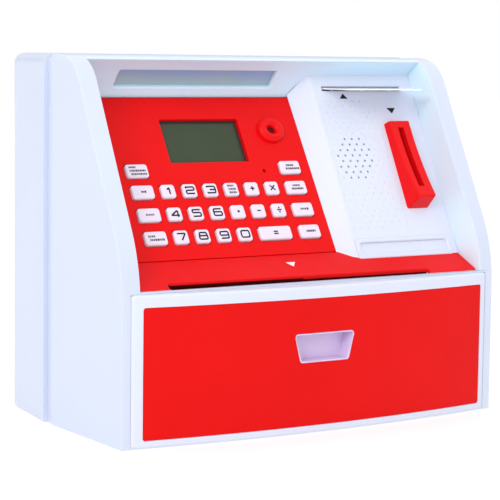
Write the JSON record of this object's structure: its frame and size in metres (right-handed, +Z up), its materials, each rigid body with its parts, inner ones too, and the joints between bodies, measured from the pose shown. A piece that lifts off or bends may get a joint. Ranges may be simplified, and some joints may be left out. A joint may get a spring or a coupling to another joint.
{
  "type": "toy atm savings bank",
  "caption": "Toy cash machine money box: white two-shell case, red keypad panel with display, card, coin and banknote slots, and a sliding money drawer.",
  "frame": {"origin": "on the floor under the centre of the footprint, between the rubber feet", "axes": "+X to the user's right, +Y to the back, +Z up; the keypad and drawer face -Y"},
  "size_m": [0.242, 0.155, 0.1994],
  "materials": {
    "shell": "moulded cool white plastic, satin sheen",
    "red": "moulded bright red plastic, semi-gloss",
    "red_inlay": "bright red plastic sheet, semi-gloss",
    "drawer": "moulded cool white plastic, satin sheen",
    "key": "glossy white key plastic with dark printing",
    "window": "silvered clear plastic strip",
    "lcd": "dark grey-green display glass",
    "lens": "dark lens, polished",
    "card": "laminated white plastic card",
    "rubber": "soft dark rubber",
    "board": "green circuit board laminate",
    "black": "black moulded plastic",
    "inner": "unpolished white plastic",
    "cell": "wrapped dry cell",
    "steel": "zinc plated steel",
    "copper": "enamelled copper winding",
    "wire": "soft wire insulation"
  },
  "bodies": {
    "housing": {"front_shell": "shell", "rear_cover": "shell", "base_plate": "shell", "header_panel": "shell", "header_window": "window", "keypad_fascia": "red", "banknote_ledge": "red", "service_panel": "shell", "coin_slot_bezel": "red", "lcd_module": "lcd", "camera_ring": "red", "camera_lens": "lens", "keypad_mat": "rubber", "main_board": "board", "speaker": "black", "coin_chute": "inner", "card_guide": "inner", "card_sensor": "black", "battery_box": "black", "batteries": "cell", "battery_contacts": "steel", "wiring": "wire", "drawer_rails": "inner", "latch_bracket": "inner", "latch_pin": "steel", "latch_coil": "copper", "case_screws": "steel", "feet": "rubber"},
    "drawer": {"drawer_tray": "drawer", "drawer_front": "drawer", "drawer_inlay": "red_inlay", "drawer_pull": "drawer"},
    "card": {"bank_card": "card"},
    "battery_cover": {"battery_door": "shell"},
    "latch": {"latch_lever": "inner"},
    "keycap_menu": {"key_menu": "key"},
    "keycap_enter": {"key_enter": "key"},
    "keycap_account": {"key_account": "key"},
    "keycap_1": {"key_1": "key"},
    "keycap_2": {"key_2": "key"},
    "keycap_3": {"key_3": "key"},
    "keycap_memory": {"key_memory": "key"},
    "keycap_plus": {"key_plus": "key"},
    "keycap_times": {"key_times": "key"},
    "keycap_clear": {"key_clear": "key"},
    "keycap_deposit": {"key_deposit": "key"},
    "keycap_4": {"key_4": "key"},
    "keycap_5": {"key_5": "key"},
    "keycap_6": {"key_6": "key"},
    "keycap_point": {"key_point": "key"},
    "keycap_minus": {"key_minus": "key"},
    "keycap_divide": {"key_divide": "key"},
    "keycap_withdraw": {"key_withdraw": "key"},
    "keycap_clock": {"key_clock": "key"},
    "keycap_7": {"key_7": "key"},
    "keycap_8": {"key_8": "key"},
    "keycap_9": {"key_9": "key"},
    "keycap_0": {"key_0": "key"},
    "keycap_equals": {"key_equals": "key"},
    "keycap_alarm": {"key_alarm": "key"}
  },
  "joints": [
    {"name": "drawer_slide", "type": "slide", "parent": "housing", "child": "drawer", "axis": [0, -1, 0], "range_m": [0, 0.11]},
    {"name": "card_slide", "type": "slide", "parent": "housing", "child": "card", "axis": [0, -1, 0], "range_m": [0, 0.075]},
    {"name": "battery_door_lift", "type": "slide", "parent": "housing", "child": "battery_cover", "axis": [0, 1, 0], "range_m": [0, 0.04]},
    {"name": "latch_pivot", "type": "hinge", "parent": "housing", "child": "latch", "pos_m": [0, 0.052, 0.09], "axis": [1, 0, 0], "range_deg": [0, 20], "stiffness_Nm_per_rad": 0.02},
    {"name": "press_menu", "type": "slide", "parent": "housing", "child": "keycap_menu", "axis": [0, 0.8554, -0.518], "range_m": [0, 0.0012], "stiffness_N_per_m": 800},
    {"name": "press_enter", "type": "slide", "parent": "housing", "child": "keycap_enter", "axis": [0, 0.8554, -0.518], "range_m": [0, 0.0012], "stiffness_N_per_m": 800},
    {"name": "press_account", "type": "slide", "parent": "housing", "child": "keycap_account", "axis": [0, 0.8554, -0.518], "range_m": [0, 0.0012], "stiffness_N_per_m": 800},
    {"name": "press_1", "type": "slide", "parent": "housing", "child": "keycap_1", "axis": [0, 0.8554, -0.518], "range_m": [0, 0.0012], "stiffness_N_per_m": 800},
    {"name": "press_2", "type": "slide", "parent": "housing", "child": "keycap_2", "axis": [0, 0.8554, -0.518], "range_m": [0, 0.0012], "stiffness_N_per_m": 800},
    {"name": "press_3", "type": "slide", "parent": "housing", "child": "keycap_3", "axis": [0, 0.8554, -0.518], "range_m": [0, 0.0012], "stiffness_N_per_m": 800},
    {"name": "press_memory", "type": "slide", "parent": "housing", "child": "keycap_memory", "axis": [0, 0.8554, -0.518], "range_m": [0, 0.0012], "stiffness_N_per_m": 800},
    {"name": "press_plus", "type": "slide", "parent": "housing", "child": "keycap_plus", "axis": [0, 0.8554, -0.518], "range_m": [0, 0.0012], "stiffness_N_per_m": 800},
    {"name": "press_times", "type": "slide", "parent": "housing", "child": "keycap_times", "axis": [0, 0.8554, -0.518], "range_m": [0, 0.0012], "stiffness_N_per_m": 800},
    {"name": "press_clear", "type": "slide", "parent": "housing", "child": "keycap_clear", "axis": [0, 0.8554, -0.518], "range_m": [0, 0.0012], "stiffness_N_per_m": 800},
    {"name": "press_deposit", "type": "slide", "parent": "housing", "child": "keycap_deposit", "axis": [0, 0.8554, -0.518], "range_m": [0, 0.0012], "stiffness_N_per_m": 800},
    {"name": "press_4", "type": "slide", "parent": "housing", "child": "keycap_4", "axis": [0, 0.8554, -0.518], "range_m": [0, 0.0012], "stiffness_N_per_m": 800},
    {"name": "press_5", "type": "slide", "parent": "housing", "child": "keycap_5", "axis": [0, 0.8554, -0.518], "range_m": [0, 0.0012], "stiffness_N_per_m": 800},
    {"name": "press_6", "type": "slide", "parent": "housing", "child": "keycap_6", "axis": [0, 0.8554, -0.518], "range_m": [0, 0.0012], "stiffness_N_per_m": 800},
    {"name": "press_point", "type": "slide", "parent": "housing", "child": "keycap_point", "axis": [0, 0.8554, -0.518], "range_m": [0, 0.0012], "stiffness_N_per_m": 800},
    {"name": "press_minus", "type": "slide", "parent": "housing", "child": "keycap_minus", "axis": [0, 0.8554, -0.518], "range_m": [0, 0.0012], "stiffness_N_per_m": 800},
    {"name": "press_divide", "type": "slide", "parent": "housing", "child": "keycap_divide", "axis": [0, 0.8554, -0.518], "range_m": [0, 0.0012], "stiffness_N_per_m": 800},
    {"name": "press_withdraw", "type": "slide", "parent": "housing", "child": "keycap_withdraw", "axis": [0, 0.8554, -0.518], "range_m": [0, 0.0012], "stiffness_N_per_m": 800},
    {"name": "press_clock", "type": "slide", "parent": "housing", "child": "keycap_clock", "axis": [0, 0.8554, -0.518], "range_m": [0, 0.0012], "stiffness_N_per_m": 800},
    {"name": "press_7", "type": "slide", "parent": "housing", "child": "keycap_7", "axis": [0, 0.8554, -0.518], "range_m": [0, 0.0012], "stiffness_N_per_m": 800},
    {"name": "press_8", "type": "slide", "parent": "housing", "child": "keycap_8", "axis": [0, 0.8554, -0.518], "range_m": [0, 0.0012], "stiffness_N_per_m": 800},
    {"name": "press_9", "type": "slide", "parent": "housing", "child": "keycap_9", "axis": [0, 0.8554, -0.518], "range_m": [0, 0.0012], "stiffness_N_per_m": 800},
    {"name": "press_0", "type": "slide", "parent": "housing", "child": "keycap_0", "axis": [0, 0.8554, -0.518], "range_m": [0, 0.0012], "stiffness_N_per_m": 800},
    {"name": "press_equals", "type": "slide", "parent": "housing", "child": "keycap_equals", "axis": [0, 0.8554, -0.518], "range_m": [0, 0.0012], "stiffness_N_per_m": 800},
    {"name": "press_alarm", "type": "slide", "parent": "housing", "child": "keycap_alarm", "axis": [0, 0.8554, -0.518], "range_m": [0, 0.0012], "stiffness_N_per_m": 800}
  ]
}
